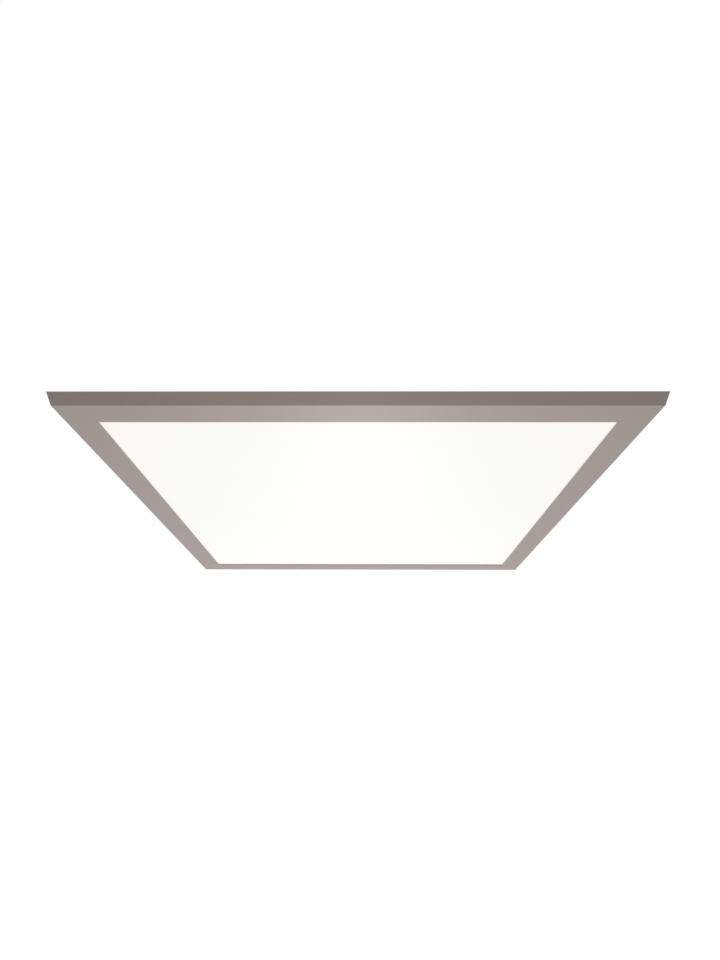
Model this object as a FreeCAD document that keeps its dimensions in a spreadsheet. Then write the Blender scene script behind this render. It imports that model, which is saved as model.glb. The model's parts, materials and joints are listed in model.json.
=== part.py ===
import FreeCAD, Part
import Sketcher
import math
import os
from types import SimpleNamespace

# Square flush mount ceiling light: an edge-lit panel hooked on a steel bracket that screws to the ceiling.
# The ceiling is the plane z = 0 and the light hangs below it. The panel hooks on two pins near its +Y edge
# and snaps into two spring clips near its -Y edge, so it swings down about the pins for wiring.
# All sizes are in millimetres.

Vector = FreeCAD.Vector
doc = FreeCAD.newDocument("ceiling_light")

# Driving dimensions
SIZES = {
    # panel frame, an aluminium extrusion mitred at the corners
    "frame_width": (600.0, "outer width across the top edges"),
    "frame_height": (13.0, "height of the frame"),
    "frame_taper": (5.0, "how far each outer side leans in towards the room"),
    "frame_edge": (0.6, "radius of the frame's lower outer edge"),
    "visible_border": (32.0, "frame width seen from the room"),
    "wall_thickness": (1.4, "walls of the extrusion"),
    "lip_thickness": (1.6, "lip that carries the diffuser"),
    "web_inset": (20.0, "top edge to the inner face of the extrusion's web"),
    "cover_seat": (2.2, "depth of the back cover's seat below the top edge"),
    "mitre_gap": (0.1, "hairline left between two mitred ends"),
    "frame_drop": (35.0, "ceiling to the top edge of the frame"),
    # corner keys
    "key_arm": (48.0, "length of each arm of a corner key"),
    "key_clearance": (0.4, "clearance of a corner key in its chamber"),
    # optical stack
    "diffuser_thickness": (1.5, "opal diffuser"),
    "guide_thickness": (3.0, "clear light guide"),
    "reflector_thickness": (0.5, "white reflector sheet"),
    "stack_gap": (0.4, "side clearance of the stack"),
    "board_thickness": (1.0, "light strip board"),
    "board_height": (5.0, "height of a light strip board"),
    "chip_depth": (0.8, "depth of one light-emitting chip"),
    "chip_width": (3.5, "length of one chip along the strip"),
    "chip_height": (2.6, "height of one chip"),
    "chip_pitch": (20.0, "spacing of the chips"),
    "strip_inset": (28.0, "least distance from the frame's top edge to a strip's end"),
    # back cover
    "cover_thickness": (0.7, "steel back cover"),
    "cover_clearance": (0.3, "edge of the back cover to the frame's rim"),
    "bead_start": (160.0, "panel's middle to the inner end of a stiffening bead"),
    "bead_end": (340.0, "panel's middle to the outer end of a stiffening bead"),
    "bead_width": (16.0, "width of a stiffening bead"),
    "bead_height": (1.5, "height of a stiffening bead"),
    # hexagon-head screws that hold the cover and the hooks in the frame's groove
    "screw_corner": (100.0, "frame's corner to a cover screw"),
    "screw_flats": (5.5, "screw head across its flats"),
    "screw_head_height": (2.0, "screw head"),
    "screw_shank_radius": (1.5, "screw shank"),
    "screw_length": (8.0, "screw below its head"),
    "hole_clearance": (0.1, "clearance to each side of a screw or stud in its hole"),
    # studs and nuts that hold the driver
    "stud_radius": (2.0, "threaded studs welded to the back cover"),
    "stud_length": (6.0, "height of a stud above the back cover"),
    "nut_flats": (7.0, "nut size across flats"),
    "nut_height": (3.0, "nut height"),
    # ceiling rails
    "rail_spacing": (280.0, "distance between the rails' middles"),
    "rail_width": (30.0, "width of a rail"),
    "rail_thickness": (1.2, "rail sheet"),
    "rail_flange": (14.0, "depth of the rail's flanges"),
    "rail_bend": (1.8, "outer bend radius of the rail"),
    "slot_inset": (25.0, "from a catch to the ceiling slot behind it"),
    "slot_length": (14.0, "ceiling slot, end to end"),
    "slot_radius": (2.75, "half width of a ceiling slot"),
    # hinge
    "hinge_inset": (16.0, "frame's +Y top edge to the hinge pins"),
    "hinge_drop": (21.0, "ceiling to the hinge pins"),
    "ear_radius": (7.0, "rounded ear of the rail around a hinge pin"),
    "ear_slope": (12.0, "length of the flange's slope down to the ear"),
    "pin_radius": (2.0, "hinge pin"),
    "pin_clearance": (0.2, "radial clearance of the hook on the pin"),
    "pin_fit": (0.05, "clearance of parts pressed into each other"),
    "pin_head_radius": (3.6, "hinge pin head"),
    "pin_head_height": (1.4, "hinge pin head"),
    "hook_radius": (7.0, "outer radius of the hook"),
    "hook_thickness": (2.0, "hook sheet"),
    "hook_foot_width": (34.0, "foot of the hook along the hinge"),
    "hook_foot_front": (22.0, "foot of the hook ahead of the pin"),
    "hook_foot_rear": (12.0, "foot of the hook behind the pin"),
    "hook_screw_offset": (11.0, "hook screw beside the hook plate"),
    # snap catch
    "catch_inset": (75.0, "frame's -Y top edge to the catches"),
    "rail_overrun": (15.0, "rail beyond the catch"),
    "clip_thickness": (0.6, "spring clip leaf"),
    "clip_width": (12.0, "spring clip along the hinge"),
    "clip_half_base": (9.0, "half width of the clip's base"),
    "clip_notch": (1.5, "depth of the notches in the sides of the clip's base"),
    "tongue_length": (6.0, "length of the rail's tongues that hold the clip"),
    "tongue_window": (3.8, "opening that a tongue leaves in the rail"),
    "strike_width": (14.0, "strike along the hinge"),
    "strike_stem": (2.0, "thickness of the strike's stem"),
    "strike_head": (8.0, "width of the strike's arrow head"),
    "strike_top": (8.0, "ceiling to the strike's tip"),
    "strike_shoulder": (15.5, "ceiling to the strike's widest point"),
    "strike_foot": (24.0, "foot of the strike along the panel"),
    "strike_foot_thickness": (1.5, "foot of the strike"),
    # cross tray between the rails
    "tray_drop": (2.0, "ceiling to the tray"),
    "tray_depth": (10.0, "depth of the tray's walls"),
    "tray_length": (90.0, "tray along the rails"),
    "tray_thickness": (1.2, "tray sheet"),
    "tray_bend": (2.4, "outer bend radius of the tray"),
    "tab_spacing": (60.0, "distance between the two tabs at one end of the tray"),
    "tab_width": (12.0, "width of a tab"),
    "tab_turn": (4.0, "turned-down end of a tab"),
    # cable grommet
    "grommet_hole": (8.0, "radius of the hole that holds the cable grommet"),
    "grommet_bore": (5.0, "radius of the cable grommet's bore"),
    "grommet_flange": (11.0, "radius of the cable grommet's flanges"),
    "grommet_lip": (1.6, "thickness of the cable grommet's flanges"),
    # terminal block
    "terminal_x": (62.0, "cable entry to the terminal block"),
    "terminal_pitch": (10.0, "distance between the two poles"),
    "terminal_width": (22.0, "terminal block across the wires"),
    "terminal_length": (19.0, "terminal block along the wires"),
    "terminal_height": (14.0, "terminal block height"),
    "foot_spacing": (11.0, "distance between the block's two snap feet"),
    "foot_width": (3.0, "width of a snap foot"),
    "foot_barb": (0.4, "barb of a snap foot"),
    "clamp_width": (5.0, "outer width and height of a brass clamp"),
    "clamp_wall": (0.8, "wall of a brass clamp"),
    "clamp_length": (15.0, "length of a brass clamp"),
    "clamp_screw_radius": (1.5, "clamp screw"),
    "well_radius": (2.1, "screw well in the terminal block"),
    # earth terminal
    "earth_x": (62.0, "cable entry to the earth screw"),
    "earth_screw_radius": (2.0, "earth screw shank"),
    "earth_flats": (7.0, "earth screw head across its flats"),
    "earth_plate_width": (9.0, "earth clamp plate"),
    "earth_plate_thickness": (0.9, "earth clamp plate"),
    # driver
    "driver_y": (90.0, "panel's middle to the driver's middle"),
    "driver_length": (160.0, "driver case"),
    "driver_width": (46.0, "driver case"),
    "driver_height": (22.0, "driver case with its base"),
    "driver_floor": (2.0, "driver base plate"),
    "driver_wall": (1.6, "driver case wall"),
    "driver_corner": (4.0, "driver case corner radius"),
    "driver_lug": (15.0, "lug beyond the driver case, and its width"),
    "vent_count": (7, "vent slots in the driver cover"),
    "vent_pitch": (9.0, "spacing of the vent slots"),
    "vent_length": (24.0, "length of a vent slot"),
    "vent_width": (2.5, "width of a vent slot"),
    "wire_notch_width": (12.0, "notch for the wires in each end of the driver cover"),
    "wire_notch_height": (6.0, "notch for the wires in each end of the driver cover"),
    "board_post": (3.0, "height and width of the posts under the driver board"),
    "driver_board": (1.6, "driver board thickness"),
    "board_margin": (1.2, "driver board to the case wall"),
    "core_width": (20.0, "transformer core"),
    "core_height": (11.0, "transformer core"),
    "winding_length": (30.0, "transformer winding"),
    "winding_width": (14.0, "transformer winding"),
    "winding_height": (8.0, "transformer winding"),
    "film_width": (8.0, "film capacitor"),
    "film_length": (15.0, "film capacitor"),
    "film_height": (11.0, "film capacitor"),
    "film_gap": (4.0, "between the two film capacitors"),
    "film_reach": (38.0, "driver's middle to the capacitors"),
    "choke_reach": (36.0, "driver's middle to the choke"),
    "choke_width": (12.0, "choke"),
    "choke_height": (9.0, "choke"),
    "contact_width": (9.0, "wire terminals at the ends of the driver board"),
    "contact_length": (22.0, "wire terminals at the ends of the driver board"),
    "contact_height": (8.0, "wire terminals at the ends of the driver board"),
    # grommet where the light strip leads leave the panel
    "lead_inset": (36.0, "frame's +X top edge to the lead grommet"),
    "lead_hole": (5.0, "radius of the hole in the back cover"),
    "lead_bore": (2.5, "radius of the lead grommet's bore"),
    "lead_flange": (7.0, "radius of the lead grommet's flanges"),
    "lead_lip": (1.2, "thickness of the lead grommet's flanges"),
}


class Size:
    """A size that knows its present number and the expression it is bound to."""

    def __init__(self, text, number):
        self.text = text
        self.number = number

    def __add__(self, other):
        return Size(f"({self.text} + {bound(other)})", self.number + value(other))

    def __sub__(self, other):
        return Size(f"({self.text} - {bound(other)})", self.number - value(other))

    def __mul__(self, other):
        return Size(f"({self.text} * {bound(other)})", self.number * value(other))

    def __truediv__(self, other):
        return Size(f"({self.text} / {bound(other)})", self.number / value(other))

    def __rsub__(self, other):
        return Size(f"({bound(other)} - {self.text})", value(other) - self.number)

    def __neg__(self):
        return Size(f"(-{self.text})", -self.number)

    __radd__ = __add__
    __rmul__ = __mul__


def value(item):
    """The present number of a size, or of a plain number."""
    return item.number if isinstance(item, Size) else float(item)


def bound(item):
    """The same as text for the expression engine."""
    return item.text if isinstance(item, Size) else str(item)


def root(item):
    return Size(f"sqrt({item.text})", math.sqrt(item.number))


def whole(item):
    return Size(f"floor({item.text})", math.floor(item.number))


sheet = doc.addObject("Spreadsheet::Sheet", "sizes")
size = SimpleNamespace()
for row, (alias, (number, note)) in enumerate(SIZES.items(), start=1):
    sheet.set(f"A{row}", note)
    sheet.set(f"B{row}", str(number))
    sheet.setAlias(f"B{row}", alias)
    setattr(size, alias, Size("sizes." + alias, number))
doc.recompute()

# Derived places, as expressions of the driving dimensions
HALF = size.frame_width/2
FACE_Z = -(size.frame_drop + size.frame_height)
COVER_BOTTOM = size.frame_height - size.cover_seat
CHAMBER_TOP = COVER_BOTTOM - size.wall_thickness
COVER_TOP = COVER_BOTTOM + size.cover_thickness
COVER_TOP_Z = FACE_Z + COVER_TOP
GUIDE_Z = size.lip_thickness + size.diffuser_thickness
REFLECTOR_Z = GUIDE_Z + size.guide_thickness
FOAM_Z = REFLECTOR_Z + size.reflector_thickness
STACK_Y = HALF - size.web_inset - size.stack_gap
STACK_X = STACK_Y - size.board_thickness - size.chip_depth
CHIP_COUNT = whole(2*(HALF - size.strip_inset)/size.chip_pitch)
CHIP_Z = GUIDE_Z + size.guide_thickness/2
SCREW_HOLE = size.screw_shank_radius + size.hole_clearance
STUD_HOLE = size.stud_radius + size.hole_clearance
SCREW_ROW = HALF - size.web_inset + size.wall_thickness + SCREW_HOLE
SCREW_REACH = HALF - size.screw_corner
CHAMBER_INSET = HALF - SCREW_ROW - SCREW_HOLE - size.wall_thickness
KEY_EDGE = size.frame_taper + size.wall_thickness + 2*size.key_clearance
KEY_WIDTH = CHAMBER_INSET - size.key_clearance - KEY_EDGE
HINGE_Y = HALF - size.hinge_inset
HINGE_Z = -size.hinge_drop
CATCH_Y = HALF - size.catch_inset
RAIL_X = size.rail_spacing/2
RAIL_FRONT = CATCH_Y + size.rail_overrun
SLOT_Y = CATCH_Y - size.slot_inset
CLIP_UNDER = -(size.rail_thickness + size.clip_thickness)
TRAY_X = RAIL_X - size.rail_width/2
TRAY_TOP = -size.tray_drop
TRAY_UNDER = TRAY_TOP - size.tray_thickness
CLAMP_Z = TRAY_UNDER - size.terminal_height/2
LEAD_X = HALF - size.lead_inset
DRIVER_LUG_X = size.driver_length/2 + size.driver_lug/2
BOARD_Z = size.driver_floor + size.board_post


# Sketch helpers
def new_body(label, x=0, y=0, z=0, turn=0.0):
    """A body with its own label, placed by expressions and turned about Z by a number of degrees."""
    made = doc.addObject("PartDesign::Body", label)
    made.Label = label
    made.AllowCompound = True
    made.Placement = FreeCAD.Placement(Vector(), FreeCAD.Rotation(Vector(0, 0, 1), turn))
    for axis, place in zip("xyz", (x, y, z)):
        if place != 0:
            made.setExpression(f"Placement.Base.{axis}", bound(place))
    return made


def origin_item(body, role):
    return next(item for item in body.Origin.OriginFeatures if item.Role == role)


def new_sketch(body, name, role="XY_Plane", lift=0):
    """A sketch on one of the body's own origin planes, lifted along that plane's normal."""
    made = body.newObject("Sketcher::SketchObject", f"{body.Name}_{name}")
    made.AttachmentSupport = (origin_item(body, role), "")
    made.MapMode = "FlatFace"
    if lift != 0:
        made.setExpression("AttachmentOffset.Base.z", bound(lift))
    return made


def pin_point(sketch, geometry, point, x, y):
    """Ties one point of a sketch to two expressions, measured from the sketch's origin."""
    for kind, distance, axis in (("DistanceX", x, -2), ("DistanceY", y, -1)):
        if distance == 0:
            sketch.addConstraint(Sketcher.Constraint("PointOnObject", geometry, point, axis))
        else:
            made = Sketcher.Constraint(kind, -1, 1, geometry, point, value(distance))
            index = sketch.addConstraint(made)
            sketch.setExpression(f"Constraints[{index}]", bound(distance))


def bind_radius(sketch, geometry, radius):
    index = sketch.addConstraint(Sketcher.Constraint("Radius", geometry, value(radius)))
    sketch.setExpression(f"Constraints[{index}]", bound(radius))


def circle(sketch, x, y, radius):
    centre = Vector(value(x), value(y), 0)
    made = sketch.addGeometry(Part.Circle(centre, Vector(0, 0, 1), value(radius)))
    pin_point(sketch, made, 3, x, y)
    bind_radius(sketch, made, radius)


def arc_between(start, end, radius, bulge):
    """The minor arc from start to end. A bulge of 1 leaves it on the left of the chord, -1 on the right."""
    chord = end - start
    half = chord.Length / 2
    height = math.sqrt(max(radius * radius - half * half, 0.0))
    left = Vector(-chord.y, chord.x, 0).normalize()
    centre = (start + end) / 2 - left * height * bulge
    middle = centre + left * radius * bulge
    return Part.Arc(start, middle, end)


def tie_centre(sketch, arc):
    """Keeps an arc's centre straight above or beside one of its ends, so that the arc can't flip over."""
    centre = sketch.getPoint(arc, 3)
    for point in (1, 2):
        end = sketch.getPoint(arc, point)
        for kind, gap in (("Vertical", end.x - centre.x), ("Horizontal", end.y - centre.y)):
            if abs(gap) < 1e-6:
                sketch.addConstraint(Sketcher.Constraint(kind, arc, point, arc, 3))
                return
    raise ValueError(f"{sketch.Name}: an arc whose centre is level with neither end")


def outline(sketch, corners):
    """A closed outline. A corner is (x, y), or (x, y, radius, bulge) when an arc leads to it."""
    points = [Vector(value(c[0]), value(c[1]), 0) for c in corners]
    made = []
    for index, corner in enumerate(corners):
        start, end = points[index - 1], points[index]
        if len(corner) == 2:
            made.append(sketch.addGeometry(Part.LineSegment(start, end)))
        else:
            made.append(sketch.addGeometry(arc_between(start, end, value(corner[2]), corner[3])))
    ends = {}
    for index, item in enumerate(made):
        shape = sketch.Geometry[item]
        forward = (shape.StartPoint - points[index - 1]).Length < 1e-6
        ends[index] = (1, 2) if forward else (2, 1)
    for index, item in enumerate(made):
        following = (index + 1) % len(made)
        joint = (item, ends[index][1], made[following], ends[following][0])
        sketch.addConstraint(Sketcher.Constraint("Coincident", *joint))
        pin_point(sketch, item, ends[index][1], corners[index][0], corners[index][1])
        if len(corners[index]) > 2:
            tie_centre(sketch, item)


def rectangle(sketch, x_low, x_high, y_low, y_high):
    outline(sketch, [(x_low, y_low), (x_high, y_low), (x_high, y_high), (x_low, y_high)])


def rounded_rectangle(sketch, half_x, half_y, radius):
    """A rectangle about the sketch's origin with four corner arcs."""
    corners = []
    for x_sign, y_sign, along_x in ((1, -1, True), (1, 1, False), (-1, 1, True), (-1, -1, False)):
        x, y = x_sign*half_x, y_sign*half_y
        near_x, near_y = x_sign*(half_x - radius), y_sign*(half_y - radius)
        first, second = ((near_x, y), (x, near_y)) if along_x else ((x, near_y), (near_x, y))
        corners += [first, (*second, radius, -1)]
    outline(sketch, corners)


def polygon(sketch, x, y, reach, sides):
    """A regular polygon whose corners lie at a distance from its middle."""
    angles = [2*math.pi*step/sides for step in range(sides)]
    outline(sketch, [(x + reach*math.cos(a), y + reach*math.sin(a)) for a in angles])


def hexagon(sketch, x, y, flats):
    polygon(sketch, x, y, flats/math.sqrt(3), 6)


def screw_shank(sketch, x, y, radius):
    """A screw's shank in eight flats, which stand for its thread."""
    polygon(sketch, x, y, radius, 8)


def slot(sketch, x_one, y_one, x_two, y_two, radius):
    """A slot whose two end arcs are centred on the points given."""
    one, two = Vector(value(x_one), value(y_one), 0), Vector(value(x_two), value(y_two), 0)
    along = (two - one).normalize()
    side = Vector(-along.y, along.x, 0) * value(radius)
    tip = along * value(radius)
    far = sketch.addGeometry(Part.Arc(two - side, two + tip, two + side))
    top = sketch.addGeometry(Part.LineSegment(two + side, one + side))
    near = sketch.addGeometry(Part.Arc(one + side, one - tip, one - side))
    low = sketch.addGeometry(Part.LineSegment(one - side, two - side))
    for first, second in ((far, top), (top, near), (near, low), (low, far)):
        sketch.addConstraint(Sketcher.Constraint("Tangent", first, 2, second, 1))
    sketch.addConstraint(Sketcher.Constraint("Equal", far, near))
    pin_point(sketch, near, 3, x_one, y_one)
    pin_point(sketch, far, 3, x_two, y_two)
    bind_radius(sketch, far, radius)


# Feature helpers
def pad(body, sketch, length, down=False, middle=False, draft=0.0):
    made = body.newObject("PartDesign::Pad", sketch.Name + "_pad")
    made.Profile = sketch
    made.setExpression("Length", bound(length))
    made.Reversed = down
    made.Midplane = middle
    made.TaperAngle = draft
    body.Tip = made
    return made


def pocket(body, sketch, depth=None, up=False, draft=0.0):
    """A pocket below the sketch, above it if up, or right through both ways without a depth."""
    made = body.newObject("PartDesign::Pocket", sketch.Name + "_pocket")
    made.Profile = sketch
    if depth is None:
        made.Type = "ThroughAll"
        made.Midplane = True
    else:
        made.setExpression("Length", bound(depth))
        made.Reversed = up
        made.TaperAngle = draft
    body.Tip = made
    return made


def thin_pocket(body, sketch, depth):
    """A pocket that reaches half the depth to each side of its sketch."""
    made = pocket(body, sketch, depth)
    made.Midplane = True
    return made


def turn(body, sketch, start, end):
    """Revolves a sketch a full turn about the line between two points of that sketch."""
    points = [Vector(value(x), value(y), 0) for x, y in (start, end)]
    axis = sketch.addGeometry(Part.LineSegment(*points), True)
    pin_point(sketch, axis, 1, *start)
    pin_point(sketch, axis, 2, *end)
    made = body.newObject("PartDesign::Revolution", sketch.Name + "_turn")
    made.Profile = sketch
    made.ReferenceAxis = (sketch, ["Axis0"])
    made.Angle = 360
    body.Tip = made
    return made


def line_of(body, feature, axis, length, count):
    """Repeats a feature in a row along one of the body's axes."""
    made = body.newObject("PartDesign::LinearPattern", feature.Name + "_row")
    made.Originals = [feature]
    made.Direction = (origin_item(body, axis), [""])
    made.setExpression("Length", bound(length))
    made.setExpression("Occurrences", bound(count))
    body.Tip = made
    return made


def ring_of(body, features, count):
    """Repeats features about the body's Z axis."""
    made = body.newObject("PartDesign::PolarPattern", features[0].Name + "_ring")
    made.Originals = features
    made.Axis = (origin_item(body, "Z_Axis"), [""])
    made.Angle = 360
    made.Occurrences = count
    body.Tip = made
    return made


def mirror(body, features, plane):
    made = body.newObject("PartDesign::Mirrored", features[0].Name + "_mirror_" + plane[:2])
    made.Originals = features
    made.MirrorPlane = (origin_item(body, plane), [""])
    body.Tip = made
    return made


def many(body, feature, planes):
    """Repeats a feature by mirrors, each acting on all copies made so far."""
    whole = body.newObject("PartDesign::MultiTransform", feature.Name + "_copies")
    parts = []
    for plane in planes:
        part = doc.addObject("PartDesign::Mirrored", f"{feature.Name}_step_{plane[:2]}")
        part.MirrorPlane = (origin_item(body, plane), [""])
        body.addObject(part)
        parts.append(part)
    whole.Originals = [feature]
    whole.Transformations = parts
    body.Tip = whole
    return whole


def round_edges(body, radius, wanted):
    """Fillets the edges of the body's present shape that pass the test."""
    doc.recompute()
    base = body.Tip
    names = [f"Edge{i}" for i, edge in enumerate(base.Shape.Edges, start=1) if wanted(edge)]
    made = body.newObject("PartDesign::Fillet", f"{base.Name}_fillet")
    made.Base = (base, names)
    made.setExpression("Radius", bound(radius))
    body.Tip = made
    return made


def level_edge(edge, z):
    """True for an edge that lies wholly at a height."""
    box = edge.BoundBox
    return abs(box.ZMin - z) < 1e-4 and abs(box.ZMax - z) < 1e-4


# Panel frame
def frame_profile(label, turned):
    """One mitred side of the frame, drawn at -Y and turned into place."""
    body = new_body(label, z=FACE_Z, turn=turned)
    section = new_sketch(body, "section", "YZ_Plane")
    edge = -HALF
    foot = edge + size.frame_taper
    web = edge + size.web_inset
    groove_in, groove_out = -SCREW_ROW + SCREW_HOLE, -SCREW_ROW - SCREW_HOLE
    slope = size.frame_taper/size.frame_height
    lean = root(1 + slope*slope)
    round_off = size.frame_edge/(lean + slope)
    outline(
        section,
        [
            (foot - slope*round_off/lean, round_off/lean),
            (foot + round_off, 0, size.frame_edge, -1),
            (foot + size.visible_border, 0),
            (foot + size.visible_border, size.lip_thickness),
            (web, size.lip_thickness),
            (web, COVER_BOTTOM),
            (groove_in, COVER_BOTTOM),
            (groove_in, size.lip_thickness),
            (groove_out, size.lip_thickness),
            (groove_out, COVER_BOTTOM),
            (edge + size.wall_thickness, COVER_BOTTOM),
            (edge + size.wall_thickness, size.frame_height),
            (edge, size.frame_height),
        ],
    )
    wall = foot + size.wall_thickness*lean
    outline(
        section,
        [
            (wall - slope*size.lip_thickness, size.lip_thickness),
            (edge + CHAMBER_INSET, size.lip_thickness),
            (edge + CHAMBER_INSET, CHAMBER_TOP),
            (wall - slope*CHAMBER_TOP, CHAMBER_TOP),
        ],
    )
    pad(body, section, size.frame_width, middle=True)
    mitre = new_sketch(body, "mitre")
    past = size.frame_taper + size.visible_border + size.wall_thickness
    outer = HALF - size.mitre_gap/math.sqrt(2)
    for side in (1, -1):
        outline(
            mitre,
            [
                (side*(outer + size.wall_thickness), edge - size.wall_thickness),
                (side*(outer - past), edge + past),
                (side*(HALF + past), edge + past),
                (side*(HALF + past), edge - size.wall_thickness),
            ],
        )
    pocket(body, mitre)


def hook_screw_places():
    """Two screws through each hook's foot. They also hold the back cover's rear edge."""
    return [(s*RAIL_X + t*size.hook_screw_offset, SCREW_ROW) for s in (1, -1) for t in (1, -1)]


def cover_screw_places():
    """Two screws on each of the other three sides."""
    places = [(s*SCREW_REACH, -SCREW_ROW) for s in (1, -1)]
    return places + [(s*SCREW_ROW, t*SCREW_REACH) for s in (1, -1) for t in (1, -1)]


def corner_key(label, turned):
    """An L-shaped steel key pressed into the chambers of two frame sides."""
    body = new_body(label, z=FACE_Z, turn=turned)
    plan = new_sketch(body, "plan", lift=size.lip_thickness)
    low = -HALF + KEY_EDGE
    far, wide = low + size.key_arm, low + KEY_WIDTH
    outline(plan, [(low, low), (far, low), (far, wide), (wide, wide), (wide, far), (low, far)])
    pad(body, plan, CHAMBER_TOP - size.lip_thickness - size.key_clearance)


# Optical stack
def stack_sheet(label, z, thickness, notched=False):
    """A sheet of the optical stack, as large as the frame and the light strips leave room for."""
    body = new_body(label, z=FACE_Z)
    plan = new_sketch(body, "plan", lift=z)
    rectangle(plan, -STACK_X, STACK_X, -STACK_Y, STACK_Y)
    pad(body, plan, thickness)
    if notched:
        notch = new_sketch(body, "lead_notch")
        reach = size.lead_flange + 2*size.stack_gap
        rectangle(
            notch,
            LEAD_X - reach,
            STACK_X + size.wall_thickness,
            -size.driver_y - reach,
            -size.driver_y + reach,
        )
        pocket(body, notch)


def light_strip(side, turned):
    """A board with its row of chips, standing against the web of the frame's side."""
    board = new_body(f"light_strip_board_{side}", z=FACE_Z, turn=turned)
    plan = new_sketch(board, "plan", lift=CHIP_Z - size.board_height/2)
    web = HALF - size.web_inset
    run = size.chip_pitch*CHIP_COUNT/2
    rectangle(plan, web - size.board_thickness, web, -run, run)
    pad(board, plan, size.board_height)
    chips = new_body(f"light_chips_{side}", z=FACE_Z, turn=turned)
    chip = new_sketch(chips, "chip", lift=CHIP_Z - size.chip_height/2)
    face = web - size.board_thickness
    first = run - size.chip_pitch/2
    rectangle(chip, face - size.chip_depth, face, -first - size.chip_width/2, -first + size.chip_width/2)
    one = pad(chips, chip, size.chip_height)
    line_of(chips, one, "Y_Axis", 2*first, CHIP_COUNT)


def bead_outline(sketch, margin):
    """The outline of one bead on the diagonal, its ends cut off at the corners, drawn in by a margin."""
    low, high = size.bead_start + margin, size.bead_end - margin
    half = size.bead_width/2 - margin
    cut = size.bead_width/4
    along_across = [
        (low + cut, -half), (high - cut, -half), (high, cut - half), (high, half - cut),
        (high - cut, half), (low + cut, half), (low, half - cut), (low, cut - half),
    ]
    diagonal = math.sqrt(0.5)
    outline(sketch, [(diagonal*(a - b), diagonal*(a + b)) for a, b in along_across])


def back_cover():
    """The steel sheet that closes the frame, with pressed beads, welded studs and its holes."""
    body = new_body("back_cover", z=FACE_Z)
    half = HALF - size.wall_thickness - size.cover_clearance
    plan = new_sketch(body, "plan", lift=COVER_BOTTOM)
    rectangle(plan, -half, half, -half, half)
    pad(body, plan, size.cover_thickness)
    bead = new_sketch(body, "bead", lift=COVER_TOP)
    bead_outline(bead, 0)
    raised = pad(body, bead, size.bead_height, draft=-35.0)
    hollow = new_sketch(body, "bead_hollow", lift=COVER_BOTTOM)
    bead_outline(hollow, size.cover_thickness)
    sunk = pocket(body, hollow, size.bead_height, up=True, draft=-35.0)
    ring_of(body, [raised, sunk], 4)
    holes = new_sketch(body, "holes")
    for x, y in cover_screw_places() + hook_screw_places():
        circle(holes, x, y, SCREW_HOLE)
    circle(holes, LEAD_X, -size.driver_y, size.lead_hole)
    pocket(body, holes)
    studs = new_sketch(body, "studs", lift=COVER_TOP)
    for side in (1, -1):
        circle(studs, side*DRIVER_LUG_X, -size.driver_y, size.stud_radius)
    pad(body, studs, size.stud_length)


def stud_places():
    """The studs of the driver's two lugs and of the two strikes' feet."""
    places = [(s*DRIVER_LUG_X, -size.driver_y) for s in (1, -1)]
    for s in (1, -1):
        for t in (1, -1):
            places.append((s*RAIL_X, -CATCH_Y + t*size.strike_stud))
    return places


def screw_group(label, places, face):
    """Hexagon-head screws that stand on a face of the panel, head up."""
    body = new_body(label, z=FACE_Z + face)
    heads = new_sketch(body, "heads")
    shanks = new_sketch(body, "shanks")
    for x, y in places:
        hexagon(heads, x, y, size.screw_flats)
        screw_shank(shanks, x, y, size.screw_shank_radius)
    pad(body, heads, size.screw_head_height)
    pad(body, shanks, size.screw_length, down=True)


def stud_nuts():
    """Hexagon nuts that clamp the driver's lugs on the welded studs."""
    body = new_body("stud_nuts", y=-size.driver_y, z=COVER_TOP_Z + size.driver_floor)
    plan = new_sketch(body, "plan")
    for side in (1, -1):
        hexagon(plan, side*DRIVER_LUG_X, 0, size.nut_flats)
        circle(plan, side*DRIVER_LUG_X, 0, STUD_HOLE)
    pad(body, plan, size.nut_height)


# Hinge hooks on the panel
def hook_bracket(label, side):
    """A steel foot with an upright plate whose open jaw hooks over the hinge pin."""
    body = new_body(label, x=side*RAIL_X)
    foot_top = COVER_TOP_Z + size.hook_thickness
    foot = new_sketch(body, "foot", lift=COVER_TOP_Z)
    half = size.hook_foot_width/2
    rectangle(foot, -half, half, HINGE_Y - size.hook_foot_front, HINGE_Y + size.hook_foot_rear)
    pad(body, foot, size.hook_thickness)
    plate = new_sketch(body, "plate", "YZ_Plane")
    jaw = size.pin_radius + size.pin_clearance
    tip = size.hook_radius - jaw - size.hook_thickness
    reach = HINGE_Y - size.hook_radius
    outline(
        plate,
        [
            (HINGE_Y - size.hook_foot_front + size.hook_thickness, foot_top),
            (HINGE_Y + size.hook_foot_rear - size.hook_thickness, foot_top),
            (HINGE_Y + size.hook_radius, HINGE_Z),
            (HINGE_Y, HINGE_Z + size.hook_radius, size.hook_radius, -1),
            (reach + tip, HINGE_Z + size.hook_radius),
            (reach, HINGE_Z + size.hook_radius - tip, tip, -1),
            (reach, HINGE_Z - jaw),
        ],
    )
    pad(body, plate, size.hook_thickness, middle=True)
    mouth = new_sketch(body, "mouth", "YZ_Plane")
    slot(mouth, HINGE_Y, HINGE_Z, reach - size.hook_radius, HINGE_Z, jaw)
    pocket(body, mouth)
    holes = new_sketch(body, "holes", lift=foot_top)
    for place in (size.hook_screw_offset, -size.hook_screw_offset):
        circle(holes, place, SCREW_ROW, SCREW_HOLE)
    pocket(body, holes, 2*size.hook_thickness)


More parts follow.
